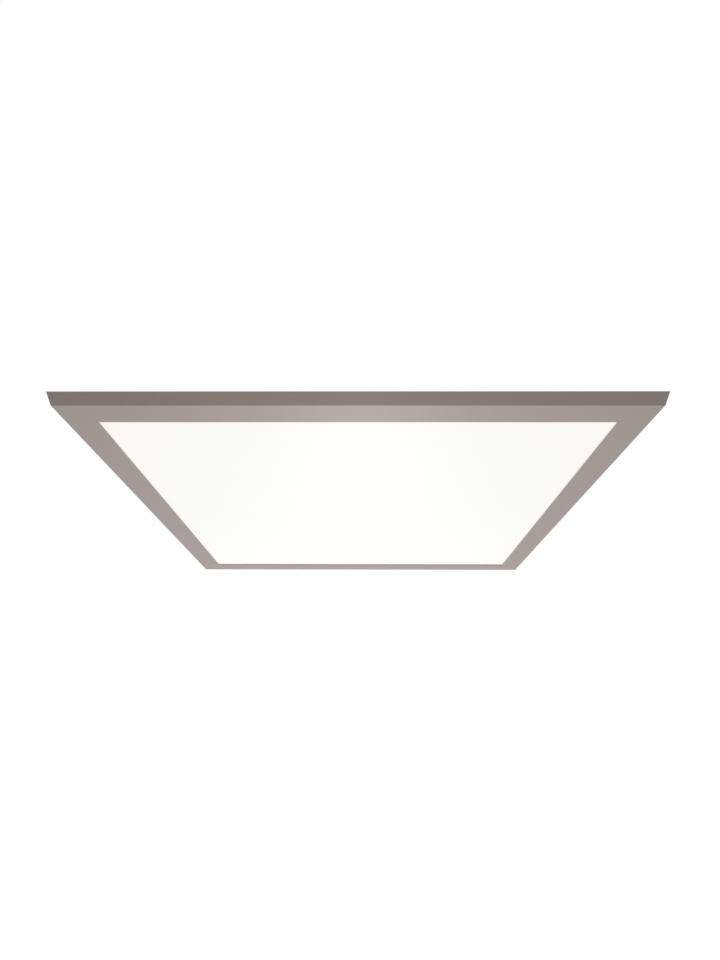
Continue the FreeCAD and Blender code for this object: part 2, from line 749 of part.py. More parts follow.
# Snap strikes on the panel
def strike(label, side):
    """A steel foot, spot-welded to the cover, with an upright arrow head that snaps into a spring clip."""
    body = new_body(label, x=side*RAIL_X, y=-CATCH_Y)
    foot = new_sketch(body, "foot", lift=COVER_TOP_Z)
    rectangle(foot, -size.strike_width/2, size.strike_width/2, -size.strike_foot/2, size.strike_foot/2)
    pad(body, foot, size.strike_foot_thickness)
    arrow = new_sketch(body, "arrow", "YZ_Plane")
    flank = size.strike_head/2 - size.strike_stem/2
    base = COVER_TOP_Z + size.strike_foot_thickness
    neck = -size.strike_shoulder - flank
    outline(
        arrow,
        [
            (size.strike_stem/2, base),
            (size.strike_stem/2, neck),
            (size.strike_head/2, -size.strike_shoulder),
            (size.strike_stem/2, -size.strike_top),
            (-size.strike_stem/2, -size.strike_top),
            (-size.strike_head/2, -size.strike_shoulder),
            (-size.strike_stem/2, neck),
            (-size.strike_stem/2, base),
        ],
    )
    pad(body, arrow, size.strike_width, middle=True)


# Ceiling rails
def rail(label, side):
    """A U-shaped rail with ceiling slots, an ear for the hinge pin and two tongues for the spring clip."""
    body = new_body(label, x=side*RAIL_X)
    rear = HINGE_Y + size.ear_radius
    web = new_sketch(body, "web")
    rectangle(web, -size.rail_width/2, size.rail_width/2, -RAIL_FRONT, rear)
    pad(body, web, size.rail_thickness, down=True)
    flange = new_sketch(body, "flange", "YZ_Plane", lift=size.rail_width/2)
    outline(
        flange,
        [
            (-RAIL_FRONT, -size.rail_flange),
            (HINGE_Y - size.ear_radius - size.ear_slope, -size.rail_flange),
            (HINGE_Y - size.ear_radius, HINGE_Z),
            (HINGE_Y, HINGE_Z - size.ear_radius, size.ear_radius, -1),
            (rear, HINGE_Z, size.ear_radius, -1),
            (rear, -size.rail_thickness/2),
            (-RAIL_FRONT, -size.rail_thickness/2),
        ],
    )
    wall = pad(body, flange, size.rail_thickness, down=True)
    mirror(body, [wall], "YZ_Plane")
    side_x = value(size.rail_width/2)

    def outer_edge(edge):
        return level_edge(edge, 0.0) and abs(edge.BoundBox.Center.x) > side_x - 1e-4

    round_edges(body, size.rail_bend, outer_edge)
    tongue = new_sketch(body, "tongue", "XZ_Plane", lift=CATCH_Y)
    stand = size.clip_width/2 - size.clip_notch + size.pin_clearance
    stand_out = stand + size.rail_thickness
    over = CLIP_UNDER - size.pin_fit
    outline(
        tongue,
        [
            (stand, -size.rail_thickness/2),
            (stand, over),
            (stand - size.clip_notch, over),
            (stand - size.clip_notch, over - size.rail_thickness),
            (stand_out, over - size.rail_thickness),
            (stand_out, -size.rail_thickness/2),
        ],
    )
    one = pad(body, tongue, size.tongue_length, middle=True)
    mirror(body, [one], "YZ_Plane")
    slots = new_sketch(body, "slots")
    reach = size.slot_length/2 - size.slot_radius
    for y in (SLOT_Y, -SLOT_Y):
        slot(slots, -reach, y, reach, y, size.slot_radius)
    low, high = -CATCH_Y - size.tongue_length/2, -CATCH_Y + size.tongue_length/2
    rectangle(slots, stand_out, stand_out + size.tongue_window, low, high)
    rectangle(slots, -stand_out - size.tongue_window, -stand_out, low, high)
    pocket(body, slots)
    bore = new_sketch(body, "pin_bore", "YZ_Plane")
    circle(bore, HINGE_Y, HINGE_Z, size.pin_radius + size.pin_fit)
    pocket(body, bore)
    joint = new_sketch(body, "tab_slots", "YZ_Plane", lift=-side*size.rail_width/2)
    half = size.tab_width/2 + size.hole_clearance
    for y in (size.tab_spacing/2, -size.tab_spacing/2):
        rectangle(joint, y - half, y + half, TRAY_UNDER - size.hole_clearance, TRAY_TOP + size.hole_clearance)
    thin_pocket(body, joint, 4*size.rail_thickness)


def hinge_pin(label, side):
    """A pin pressed through the rail's two ears, headed at its outer end."""
    body = new_body(label, x=side*RAIL_X)
    section = new_sketch(body, "section", lift=HINGE_Z)
    end = side*size.rail_width/2
    outer = end + side*size.pin_head_height
    pin, head = HINGE_Y + size.pin_radius, HINGE_Y + size.pin_head_radius
    outline(section, [(-end, HINGE_Y), (outer, HINGE_Y), (outer, head), (end, head), (end, pin), (-end, pin)])
    turn(body, section, (-end, HINGE_Y), (outer, HINGE_Y))


def catch_clip(label, side):
    """A leaf spring bent to a U, its two noses closing under the shoulders of the strike."""
    made = doc.addObject("Part::Feature", label)
    made.Label = label
    leaf, half = value(size.clip_thickness), value(size.clip_half_base)
    top = value(CLIP_UNDER) + leaf/2
    flank = value(size.strike_head/2 - size.strike_stem/2)
    gap = value(size.pin_clearance) + leaf/2
    nose_y = value(size.strike_stem/2) + 2*gap
    nose_z = value(-size.strike_shoulder) - flank - 2*gap
    tail_y, tail_z = nose_y + flank, nose_z - 1.3*flank
    bend = 3*leaf
    knee_y, knee_z = value(size.strike_head/2) + 3.5*gap, value(-size.strike_shoulder) - gap
    right = [
        Vector(0, half - bend, top),
        Vector(0, half, top - bend),
        Vector(0, knee_y, knee_z),
        Vector(0, nose_y, nose_z),
        Vector(0, tail_y, tail_z),
    ]
    part_way = bend*(1 - math.sqrt(0.5))
    corner = Vector(0, half - part_way, top - part_way)

    def flipped(point):
        return Vector(0, -point.y, point.z)

    edges = [Part.LineSegment(flipped(right[0]), right[0]).toShape()]
    for turned in (lambda p: p, flipped):
        edges.append(Part.Arc(turned(right[0]), turned(corner), turned(right[1])).toShape())
        for first, second in zip(right[1:], right[2:]):
            edges.append(Part.LineSegment(turned(first), turned(second)).toShape())
    path = Part.Wire(Part.__sortEdges__(edges))
    skin = path.makeOffset2D(leaf/2, join=2, fill=True, openResult=True, intersection=False)
    width = value(size.clip_width)
    face = skin.Faces[0]
    face.translate(Vector(-width/2, 0, 0))
    solid = face.extrude(Vector(width, 0, 0))
    notch, length = value(size.clip_notch), value(size.tongue_length + 2*size.pin_clearance)
    for x in (-width/2, width/2 - notch):
        solid = solid.cut(Part.makeBox(notch, length, 4*leaf, Vector(x, -length/2, top - 2*leaf)))
    made.Shape = solid
    made.Placement = FreeCAD.Placement(Vector(value(side*RAIL_X), value(-CATCH_Y), 0), FreeCAD.Rotation())


# Cross tray and what it carries
def cross_tray():
    """A shallow folded tray between the rails, open towards the room. Its tabs are bent over in the rails."""
    body = new_body("cross_tray")
    plan = new_sketch(body, "plan", lift=TRAY_TOP)
    half = size.tray_length/2
    rectangle(plan, -TRAY_X, TRAY_X, -half, half)
    pad(body, plan, size.tray_depth, down=True)
    top = value(TRAY_TOP)
    round_edges(body, size.tray_bend, lambda edge: level_edge(edge, top))
    inside = new_sketch(body, "inside", lift=TRAY_UNDER)
    wide, deep = TRAY_X - size.tray_thickness, half - size.tray_thickness
    rectangle(inside, -wide, wide, -deep, deep)
    pocket(body, inside, size.tray_depth)
    tab = new_sketch(body, "tab", "XZ_Plane", lift=size.tab_spacing/2)
    turned_in = TRAY_X + size.rail_thickness + size.hole_clearance
    turned_out = turned_in + size.tray_thickness
    outline(
        tab,
        [
            (TRAY_X - 2*size.tray_bend, TRAY_TOP),
            (TRAY_X - 2*size.tray_bend, TRAY_UNDER),
            (turned_in, TRAY_UNDER),
            (turned_in, TRAY_TOP - size.tab_turn),
            (turned_out, TRAY_TOP - size.tab_turn),
            (turned_out, TRAY_TOP),
        ],
    )
    one = pad(body, tab, size.tab_width, middle=True)
    many(body, one, ["YZ_Plane", "XZ_Plane"])
    holes = new_sketch(body, "holes")
    circle(holes, 0, 0, size.grommet_hole)
    foot = size.foot_width/2 + size.hole_clearance
    for y in (size.foot_spacing/2, -size.foot_spacing/2):
        rectangle(holes, size.terminal_x - foot, size.terminal_x + foot, y - foot, y + foot)
    pocket(body, holes)
    earth = new_sketch(body, "earth_hole", "XZ_Plane", lift=half)
    circle(earth, -size.earth_x, TRAY_TOP - size.tray_depth/2, size.earth_screw_radius + size.hole_clearance)
    thin_pocket(body, earth, 4*size.tray_thickness)


def grommet(label, x, y, z, hole, bore, flange, lip, plate):
    """A rubber grommet whose groove grips a plate between z and z plus the plate's thickness."""
    body = new_body(label, x=x, y=y, z=z)
    section = new_sketch(body, "section", "XZ_Plane")
    groove = hole - size.pin_fit
    top, low = plate + lip, -lip
    lower = [(bore, low), (flange, low), (flange, 0), (groove, 0)]
    outline(section, lower + [(groove, plate), (flange, plate), (flange, top), (bore, top)])
    turn(body, section, (0, low), (0, top))


def terminal_block():
    """A moulded two-pole block on two snap feet, with a wire passage and a screw well for each pole."""
    body = new_body("terminal_block", x=size.terminal_x)
    plan = new_sketch(body, "plan", lift=TRAY_UNDER)
    half_x, half_y = size.terminal_width/2, size.terminal_length/2
    rectangle(plan, -half_x, half_x, -half_y, half_y)
    pad(body, plan, size.terminal_height, down=True)
    foot = new_sketch(body, "foot", "YZ_Plane")
    middle, half = size.foot_spacing/2, size.foot_width/2
    barb = TRAY_TOP + size.hole_clearance
    outline(
        foot,
        [
            (middle - half, TRAY_UNDER),
            (middle + half, TRAY_UNDER),
            (middle + half, barb),
            (middle + half + size.foot_barb, barb),
            (middle + half, barb + 2*size.foot_barb),
            (middle - half, barb + 2*size.foot_barb),
        ],
    )
    one = pad(body, foot, size.foot_width, middle=True)
    mirror(body, [one], "XZ_Plane")
    passages = new_sketch(body, "passages", "XZ_Plane")
    wells = new_sketch(body, "wells", lift=TRAY_UNDER - size.terminal_height)
    reach = size.clamp_width/2 + size.pin_fit
    for x in (-size.terminal_pitch/2, size.terminal_pitch/2):
        rectangle(passages, x - reach, x + reach, CLAMP_Z - reach, CLAMP_Z + reach)
        circle(wells, x, 0, size.well_radius)
    pocket(body, passages)
    pocket(body, wells, size.terminal_height/2 - size.clamp_width/2, up=True)


def terminal_fittings():
    """The two brass clamps and the screw that presses on the wires in each."""
    clamps = new_body("terminal_clamps", x=size.terminal_x)
    tube = new_sketch(clamps, "tube", "XZ_Plane")
    tapped = new_sketch(clamps, "tapped", lift=CLAMP_Z)
    screws = new_body("terminal_screws", x=size.terminal_x)
    shaft = new_sketch(screws, "shaft", lift=TRAY_UNDER - size.terminal_height + size.clamp_wall)
    outer = size.clamp_width/2
    inner = outer - size.clamp_wall
    for x in (-size.terminal_pitch/2, size.terminal_pitch/2):
        rectangle(tube, x - outer, x + outer, CLAMP_Z - outer, CLAMP_Z + outer)
        rectangle(tube, x - inner, x + inner, CLAMP_Z - inner, CLAMP_Z + inner)
        circle(tapped, x, 0, size.clamp_screw_radius + size.pin_fit)
        circle(shaft, x, 0, size.clamp_screw_radius)
    pad(clamps, tube, size.clamp_length, middle=True)
    pocket(clamps, tapped, size.clamp_width)
    pad(screws, shaft, size.terminal_height/2 - size.clamp_width/2 + size.clamp_wall)


def earth_terminal():
    """The earth screw through the tray's -Y wall, with its square clamp plate."""
    screw = new_body("earth_screw", x=-size.earth_x, z=TRAY_TOP - size.tray_depth/2)
    face = size.tray_length/2 + size.earth_plate_thickness
    head = new_sketch(screw, "head", "XZ_Plane", lift=face)
    hexagon(head, 0, 0, size.earth_flats)
    pad(screw, head, size.screw_head_height)
    shank = new_sketch(screw, "shank", "XZ_Plane", lift=face)
    screw_shank(shank, 0, 0, size.earth_screw_radius)
    pad(screw, shank, size.screw_length, down=True)
    plate = new_body("earth_plate", x=-size.earth_x, z=TRAY_TOP - size.tray_depth/2)
    square = new_sketch(plate, "square", "XZ_Plane", lift=size.tray_length/2)
    half = size.earth_plate_width/2
    rectangle(square, -half, half, -half, half)
    circle(square, 0, 0, size.earth_screw_radius + size.hole_clearance)
    pad(plate, square, size.earth_plate_thickness)


# Driver
def driver_base():
    """The driver's floor with a lug at each end and posts for the board."""
    body = new_body("driver_base", y=-size.driver_y, z=COVER_TOP_Z)
    plan = new_sketch(body, "plan")
    rounded_rectangle(plan, size.driver_length/2, size.driver_width/2, size.driver_corner)
    pad(body, plan, size.driver_floor)
    lugs = new_sketch(body, "lugs")
    holes = new_sketch(body, "holes")
    reach, half = size.driver_length/2, size.driver_lug/2
    for side in (1, -1):
        rectangle(lugs, side*(reach - size.driver_wall), side*(reach + size.driver_lug), -half, half)
        circle(holes, side*DRIVER_LUG_X, 0, STUD_HOLE)
    pad(body, lugs, size.driver_floor)
    pocket(body, holes)
    posts = new_sketch(body, "posts", lift=size.driver_floor)
    x, y = reach - 2*size.driver_corner, size.driver_width/2 - 2*size.driver_corner
    rectangle(posts, x - size.board_post, x, y - size.board_post, y)
    one = pad(body, posts, size.board_post)
    many(body, one, ["YZ_Plane", "XZ_Plane"])


def driver_cover():
    """The moulded lid: a box with rounded corners, vent slots on top and a wire notch in each end."""
    body = new_body("driver_cover", y=-size.driver_y, z=COVER_TOP_Z + size.driver_floor)
    height = size.driver_height - size.driver_floor
    reach, half = size.driver_length/2, size.driver_width/2
    plan = new_sketch(body, "plan")
    rounded_rectangle(plan, reach, half, size.driver_corner)
    pad(body, plan, height)
    inside = new_sketch(body, "inside")
    wide, deep = reach - size.driver_wall, half - size.driver_wall
    rectangle(inside, -wide, wide, -deep, deep)
    pocket(body, inside, height - size.driver_wall, up=True)
    vents = new_sketch(body, "vents", lift=height)
    run = size.vent_pitch*(size.vent_count - 1)
    first, half_slot = -run/2, size.vent_width/2
    rectangle(vents, first - half_slot, first + half_slot, -size.vent_length/2, size.vent_length/2)
    one = pocket(body, vents, 2*size.driver_wall)
    line_of(body, one, "X_Axis", run, size.vent_count)
    notch = new_sketch(body, "wire_notches", "YZ_Plane")
    half_notch = size.wire_notch_width/2
    rectangle(notch, -half_notch, half_notch, -size.driver_wall, size.wire_notch_height)
    pocket(body, notch)


def driver_board_parts():
    """The board on its posts, and the parts soldered to it."""
    deck = COVER_TOP_Z + BOARD_Z + size.driver_board

    def on_board(label):
        return new_body(label, y=-size.driver_y, z=deck)

    board = new_body("driver_board", y=-size.driver_y, z=COVER_TOP_Z + BOARD_Z)
    plan = new_sketch(board, "plan")
    margin = size.driver_wall + size.board_margin
    end, half = size.driver_length/2 - margin, size.driver_width/2 - margin
    rectangle(plan, -end, end, -half, half)
    pad(board, plan, size.driver_board)
    transformer = on_board("driver_transformer")
    core = new_sketch(transformer, "core")
    rectangle(core, -size.core_width/2, size.core_width/2, -size.core_width/2, size.core_width/2)
    pad(transformer, core, size.core_height)
    winding = new_sketch(transformer, "winding")
    half_wide, half_long = size.winding_width/2, size.winding_length/2
    rectangle(winding, -half_wide, half_wide, -half_long, half_long)
    pad(transformer, winding, size.winding_height)
    capacitors = on_board("driver_capacitors")
    films = new_sketch(capacitors, "films")
    x_low, x_high = -size.film_reach - size.film_width/2, -size.film_reach + size.film_width/2
    rectangle(films, x_low, x_high, size.film_gap/2, size.film_gap/2 + size.film_length)
    rectangle(films, x_low, x_high, -size.film_gap/2 - size.film_length, -size.film_gap/2)
    pad(capacitors, films, size.film_height)
    choke = on_board("driver_choke")
    block = new_sketch(choke, "block")
    half_choke = size.choke_width/2
    rectangle(block, size.choke_reach - half_choke, size.choke_reach + half_choke, -half_choke, half_choke)
    pad(choke, block, size.choke_height)
    terminals = on_board("driver_terminals")
    blocks = new_sketch(terminals, "blocks")
    for side in (1, -1):
        rectangle(
            blocks,
            side*(end - size.contact_width),
            side*end,
            -size.contact_length/2,
            size.contact_length/2,
        )
    pad(terminals, blocks, size.contact_height)


def build():
    for index, name in enumerate(("front", "right", "rear", "left")):
        frame_profile(f"frame_{name}", 90*index)
    for index, name in enumerate(("front_left", "front_right", "rear_right", "rear_left")):
        corner_key(f"corner_key_{name}", 90*index)
    stack_sheet("diffuser", size.lip_thickness, size.diffuser_thickness)
    stack_sheet("light_guide", GUIDE_Z, size.guide_thickness)
    stack_sheet("reflector_sheet", REFLECTOR_Z, size.reflector_thickness)
    stack_sheet("foam_board", FOAM_Z, COVER_BOTTOM - FOAM_Z, notched=True)
    light_strip("right", 0)
    light_strip("left", 180)
    back_cover()
    screw_group("cover_screws", cover_screw_places(), COVER_TOP)
    screw_group("hook_screws", hook_screw_places(), COVER_TOP + size.hook_thickness)
    stud_nuts()
    for name, side in (("right", 1), ("left", -1)):
        hook_bracket(f"hook_{name}", side)
        strike(f"strike_{name}", side)
        rail(f"ceiling_rail_{name}", side)
        hinge_pin(f"hinge_pin_{name}", side)
        catch_clip(f"catch_clip_{name}", side)
    cross_tray()
    grommet(
        "cable_grommet", 0, 0, TRAY_UNDER,
        size.grommet_hole, size.grommet_bore, size.grommet_flange, size.grommet_lip, size.tray_thickness,
    )
    grommet(
        "lead_grommet", LEAD_X, -size.driver_y, FACE_Z + COVER_BOTTOM,
        size.lead_hole, size.lead_bore, size.lead_flange, size.lead_lip, size.cover_thickness,
    )
    terminal_block()
    terminal_fittings()
    earth_terminal()
    driver_base()
    driver_cover()
    driver_board_parts()
    doc.recompute()


def sub_parts():
    return [o for o in doc.Objects if o.isDerivedFrom("PartDesign::Body") or o.TypeId == "Part::Feature"]


def check():
    """Stops if an object failed, a cut removed nothing or a sub-part isn't a valid solid."""
    faults = [o.Name for o in doc.Objects if {"Invalid", "Error"} & set(o.State)]
    for body in sub_parts():
        if body.Shape.isNull() or not body.Shape.isValid() or not body.Shape.Solids:
            faults.append(f"{body.Label} is not a valid solid")
        previous = None
        for item in getattr(body, "Group", []):
            if not item.isDerivedFrom("PartDesign::Feature") or item.Shape.isNull():
                continue
            if item.TypeId == "PartDesign::Pocket" and previous is not None:
                if item.Shape.Volume > previous.Shape.Volume - 1e-3:
                    faults.append(f"{item.Name} cuts nothing")
            previous = item
    if faults:
        raise SystemExit("faults: " + ", ".join(faults))


def export():
    os.makedirs("parts", exist_ok=True)
    for body in sub_parts():
        body.Shape.exportStep(f"parts/{body.Label}.step")
        print(f"{body.Label}: {len(body.Shape.Solids)} solids, {body.Shape.Volume / 1000:.2f} cm3")


build()
check()
export()
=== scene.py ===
import bmesh
import bpy
import json
import math
from mathutils import Matrix, Vector


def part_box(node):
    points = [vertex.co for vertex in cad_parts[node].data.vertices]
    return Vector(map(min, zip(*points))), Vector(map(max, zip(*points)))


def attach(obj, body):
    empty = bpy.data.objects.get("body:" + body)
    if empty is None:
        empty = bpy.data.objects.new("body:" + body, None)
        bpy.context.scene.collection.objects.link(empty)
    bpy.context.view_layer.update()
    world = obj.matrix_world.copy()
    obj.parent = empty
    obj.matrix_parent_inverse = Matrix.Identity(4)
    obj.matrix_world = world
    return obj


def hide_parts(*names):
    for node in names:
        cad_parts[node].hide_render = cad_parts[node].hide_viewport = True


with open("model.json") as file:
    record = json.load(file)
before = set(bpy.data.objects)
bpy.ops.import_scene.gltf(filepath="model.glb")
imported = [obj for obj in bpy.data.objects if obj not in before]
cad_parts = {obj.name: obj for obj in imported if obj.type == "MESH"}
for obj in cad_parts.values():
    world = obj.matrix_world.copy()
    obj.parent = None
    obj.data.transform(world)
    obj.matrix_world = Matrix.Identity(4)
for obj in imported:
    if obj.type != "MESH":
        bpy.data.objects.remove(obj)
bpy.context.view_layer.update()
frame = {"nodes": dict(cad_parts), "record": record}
nodes = frame["nodes"]
bodyOf = {name: body for body, names in frame["record"]["behaviour"]["bodies"].items() for name in names}
slotOf = {row["node"]: row["material_slot"] for row in frame["record"]["subparts"]}
mm = 0.001
merged = 1e-6  # points nearer than this, in metres, are one
print("frame loaded:", len(nodes), "nodes")


# Wires: node maths written as sums and products

class Wire:
    def __init__(self, tree, socket=None):
        self.tree = tree
        self.socket = socket

    def join(self, target, value):
        if isinstance(value, Wire):
            self.tree.links.new(value.socket, target)
        elif isinstance(value, list):
            for item in value:
                self.tree.links.new(item.socket, target)
        else:
            target.default_value = value

    def node(self, kind, sockets=None, output=0, **settings):
        # any node: its settings first, then the values or wires of its sockets
        made = self.tree.nodes.new(kind)
        for name, value in settings.items():
            setattr(made, name, value)
        for key, value in (sockets or {}).items():
            self.join(made.inputs[key], value)
        return Wire(self.tree, made.outputs[output])

    def maths(self, operation, first, second=0.0, **settings):
        return self.node("ShaderNodeMath", {0: first, 1: second}, operation=operation, **settings)

    def __add__(self, other):
        return self.maths("ADD", self, other)

    def __sub__(self, other):
        return self.maths("SUBTRACT", self, other)

    def __mul__(self, other):
        return self.maths("MULTIPLY", self, other)

    def __truediv__(self, other):
        return self.maths("DIVIDE", self, other)

    def __abs__(self):
        return self.maths("ABSOLUTE", self)

    def __rsub__(self, other):
        return self.maths("SUBTRACT", other, self)

    __radd__ = __add__
    __rmul__ = __mul__

    def beside(self, output):
        # another output of the node that this wire comes from
        return Wire(self.tree, self.socket.node.outputs[output])

    def between(self, low, high):
        # 0 below low, 1 above high, smooth in between
        sockets = {"Value": self, "From Min": low, "From Max": high}
        return self.node("ShaderNodeMapRange", sockets, interpolation_type="SMOOTHSTEP")

    def blend(self, first, second):
        # this wire is the share of the second colour; the sockets are Factor, A and B of a colour Mix
        return self.node("ShaderNodeMix", {0: self, 6: first, 7: second}, output=2, data_type="RGBA")


def shade(colour, factor=1.0):
    return (*[min(1.0, channel * factor) for channel in colour], 1)


class Finish:
    # one material: its Principled shader and the place on the piece, in metres
    def __init__(self, name, colour, roughness, metallic=0.0, constants=None):
        self.material = bpy.data.materials.new(name)
        self.material.use_nodes = True
        self.shader = self.material.node_tree.nodes["Principled BSDF"]
        self.start = Wire(self.material.node_tree)
        self.place = self.start.node("ShaderNodeTexCoord", output="Object")
        plain = {"Base Color": (*colour, 1), "Roughness": roughness, "Metallic": metallic}
        for key, value in {**plain, **(constants or {})}.items():
            self.start.join(self.shader.inputs[key], value)

    def feed(self, socket, wire):
        self.start.join(self.shader.inputs[socket], wire)

    def noise(self, scale, detail=2.0, stretch=None):
        place = self.place
        if stretch:
            place = self.start.node("ShaderNodeMapping", {"Vector": place, "Scale": stretch})
        return self.start.node("ShaderNodeTexNoise", {"Vector": place, "Scale": scale, "Detail": detail})

    def cells(self, scale, output="Distance", feature="F1"):
        sockets = {"Vector": self.place, "Scale": scale}
        return self.start.node("ShaderNodeTexVoronoi", sockets, output=output, feature=feature)

    def bump(self, height, depth):
        # the depth is in metres
        self.feed("Normal", self.start.node("ShaderNodeBump", {"Height": height, "Distance": depth}))


# Finishes

def coated(name, colour, roughness, speckle, peel, depth):
    # powder coat: a faint speckle of pigment and the skin of an orange peel
    made = Finish(name, colour, roughness)
    clouds = made.noise(9.0, detail=3.0)
    specks = made.noise(speckle, detail=1.0)
    tone = clouds * 0.4 + specks * 0.6
    made.feed("Base Color", tone.between(0.25, 0.75).blend(shade(colour, 0.965), shade(colour, 1.035)))
    made.feed("Roughness", roughness - 0.05 + clouds * 0.1)
    made.bump(made.noise(peel), depth)
    return made.material


def moulded(name, colour, roughness, grain, depth, constants=None):
    # moulded plastic with a fine spark-eroded skin
    made = Finish(name, colour, roughness, constants=constants)
    clouds = made.noise(35.0, detail=3.0)
    made.feed("Base Color", clouds.between(0.3, 0.7).blend(shade(colour, 0.97), shade(colour, 1.02)))
    made.feed("Roughness", roughness - 0.04 + clouds * 0.08)
    made.bump(made.noise(grain, detail=3.0), depth)
    return made.material


def galvanised(name, colour, spangle):
    # zinc flowers of slightly different greys, and the marks of rolling
    made = Finish(name, colour, 0.42, metallic=1.0)
    flowers = made.cells(spangle, "Color")
    grey = made.start.node("ShaderNodeSeparateColor", {0: flowers})
    veins = made.cells(spangle, "Distance", "DISTANCE_TO_EDGE").between(0.0, 0.05)
    streaks = made.noise(60.0, stretch=(1.0, 0.04, 1.0))
    made.feed("Base Color", (grey * 0.7 + streaks * 0.3).blend(shade(colour, 0.86), shade(colour, 1.1)))
    made.feed("Roughness", 0.34 + grey * 0.12 + (1.0 - veins) * 0.06)
    made.bump(veins + made.noise(900.0) * 0.3, 0.000006)
    return made.material


def plated(name, colour, tint, roughness):
    # bright plating with turning marks and a slight passivation tint
    made = Finish(name, colour, roughness, metallic=1.0)
    clouds = made.noise(160.0)
    lines = made.noise(700.0, stretch=(1.0, 1.0, 9.0))
    made.feed("Base Color", clouds.between(0.35, 0.7).blend(shade(colour), shade(tint)))
    made.feed("Roughness", roughness - 0.06 + lines * 0.14)
    made.bump(lines, 0.000004)
    return made.material


opalGlow = {
    "middle": (0.776, 0.777, 0.760), "edge": (0.798, 0.766, 0.738), "skin": (0.16, 0.16, 0.158),
    "half": 0.263,  # from the middle to the frame's lip, in metres
    "edgeStart": 0.9,  # share of the half where the edge's tone sets in
    "cornerReach": (0.045, 0.130),  # squares of the distance from the middle
    "edgeShare": 0.7, "cornerShare": 0.5,
}


def opalWindow():
    # lit from behind: even, and a trace warmer and dimmer towards the edges and corners
    glow, skin = opalGlow, opalGlow["skin"]
    dull = {"Emission Strength": 1.0, "Specular IOR Level": 0.3}
    made = Finish("opalWindow", skin, 0.5, constants=dull)
    where = made.start.node("ShaderNodeSeparateXYZ", {0: made.place})
    across, along = abs(where), abs(where.beside(1))
    start, end = glow["half"] * glow["edgeStart"], glow["half"]
    nearEdge = across.between(start, end) + along.between(start, end)
    corner = (across * across + along * along).between(*glow["cornerReach"])
    tones = nearEdge * glow["edgeShare"], corner * glow["cornerShare"]
    share = made.start.maths("ADD", *tones, use_clamp=True)
    grain = made.noise(1800.0, detail=1.0)
    made.feed("Base Color", grain.blend(shade(skin, 0.97), shade(skin, 1.03)))
    made.feed("Emission Color", share.blend(shade(glow["middle"]), shade(glow["edge"])))
    made.bump(grain, 0.00001)
    return made.material


def clearAcrylic():
    # the guide's printed dots show in it
    glassy = {"Transmission Weight": 0.9, "IOR": 1.49}
    made = Finish("clearAcrylic", (0.92, 0.95, 0.95), 0.08, constants=glassy)
    dots = made.cells(500.0).between(0.10, 0.16)
    made.feed("Roughness", 0.45 - dots * 0.37)
    return made.material


def rubber():
    made = Finish("blackRubber", (0.022, 0.022, 0.023), 0.6)
    dust = made.noise(240.0, detail=4.0)
    made.feed("Base Color", dust.between(0.45, 0.8).blend((0.018, 0.018, 0.019, 1), (0.05, 0.05, 0.05, 1)))
    made.feed("Roughness", 0.5 + dust * 0.25)
    made.bump(made.noise(1400.0), 0.00002)
    return made.material


def foamCells():
    made = Finish("foamCells", (0.72, 0.72, 0.69), 0.9)
    cells = made.cells(900.0)
    made.feed("Base Color", cells.between(0.1, 0.6).blend((0.78, 0.78, 0.75, 1), (0.62, 0.62, 0.59, 1)))
    made.bump(cells, 0.0002)
    return made.material


def solderMask(name, colour, pads, pitch):
    # printed tracks under the mask and tinned pads through it
    made = Finish(name, colour, 0.3, constants={"Coat Weight": 0.3})
    tracks = made.cells(pitch * 0.4, "Distance", "DISTANCE_TO_EDGE").between(0.02, 0.05)
    made.feed("Base Color", tracks.blend(shade(colour, 1.35), shade(colour)))
    holes = made.cells(pitch).between(0.05, 0.09)
    tinned = 1.0 - holes
    made.feed("Metallic", tinned * pads)
    made.feed("Roughness", 0.26 + tinned * 0.15)
    made.bump(tracks * 0.5 + tinned, 0.00003)
    return made.material


def phosphor():
    made = Finish("phosphor", (0.85, 0.72, 0.22), 0.5)
    grain = made.noise(3000.0)
    made.feed("Base Color", grain.blend((0.82, 0.66, 0.18, 1), (0.88, 0.78, 0.28, 1)))
    made.bump(grain, 0.00001)
    return made.material


def windings():
    # enamelled wire laid side by side under tape, and the dull ferrite round it
    made = Finish("ferriteAndTape", (0.05, 0.05, 0.055), 0.55)
    wave = made.start.node("ShaderNodeTexWave", {"Vector": made.place, "Scale": 320.0}, bands_direction="Y")
    made.feed("Base Color", wave.between(0.3, 0.8).blend((0.035, 0.035, 0.04, 1), (0.075, 0.07, 0.065, 1)))
    made.bump(wave, 0.00005)
    return made.material


